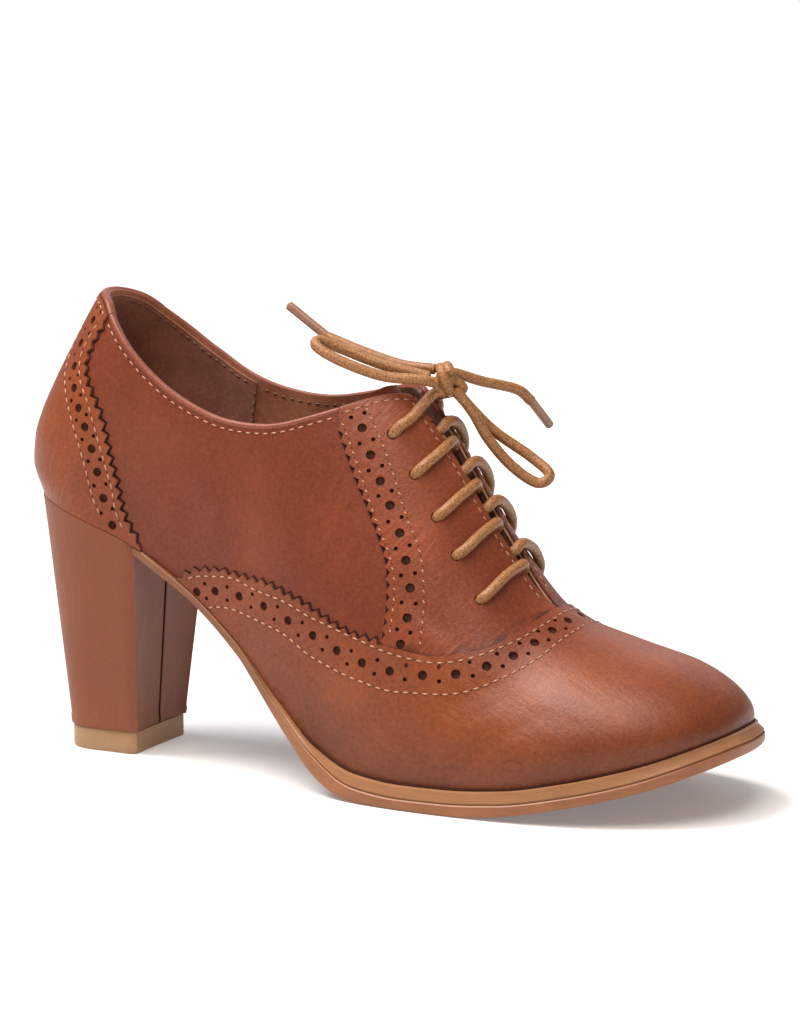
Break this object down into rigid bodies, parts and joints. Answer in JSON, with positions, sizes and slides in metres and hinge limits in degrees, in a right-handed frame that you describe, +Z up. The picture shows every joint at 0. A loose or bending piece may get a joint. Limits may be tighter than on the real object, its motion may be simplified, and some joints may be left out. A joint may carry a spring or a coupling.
{
  "type": "heeled lace-up brogue shoe",
  "caption": "Low-cut lace-up brogue ankle boot for a right foot, with a hollow leather upper, perforated overlays, a tied bow, a welted sole and a tall block heel.",
  "frame": {"origin": "on the floor under the middle of the shoe's length and width", "axes": "+X from heel to toe, +Y to the medial (big toe) side, +Z up from the floor"},
  "size_m": [0.2318, 0.0855, 0.1403],
  "materials": {
    "leather": "smooth satin leather with a fine grain",
    "heel_wrap": "smooth satin leather wrapped round the heel",
    "lining": "matt suede-like lining",
    "welt": "satin tan welt edge",
    "outsole": "satin brown sole edge",
    "top_piece": "matt tan rubber",
    "lace": "waxed round braided cord",
    "aglet": "clear shrunk film over the cord's end"
  },
  "bodies": {
    "root": {"upper": "leather", "vamp_overlay": "leather", "facing_lateral": "leather", "facing_medial": "leather", "counter_overlay": "leather", "tongue": "lining", "insole": "lining", "welt": "welt", "outsole": "outsole", "heel_block": "heel_wrap", "heel_top_piece": "top_piece", "lace_bar_1": "lace", "lace_bar_2": "lace", "lace_bar_3": "lace", "lace_bar_4": "lace", "lace_bar_5": "lace", "lace_knot": "lace", "lace_loop_lateral": "lace", "lace_loop_medial": "lace", "lace_end_lateral": "lace", "lace_end_medial": "lace", "aglet_lateral": "aglet", "aglet_medial": "aglet"}
  },
  "joints": []
}
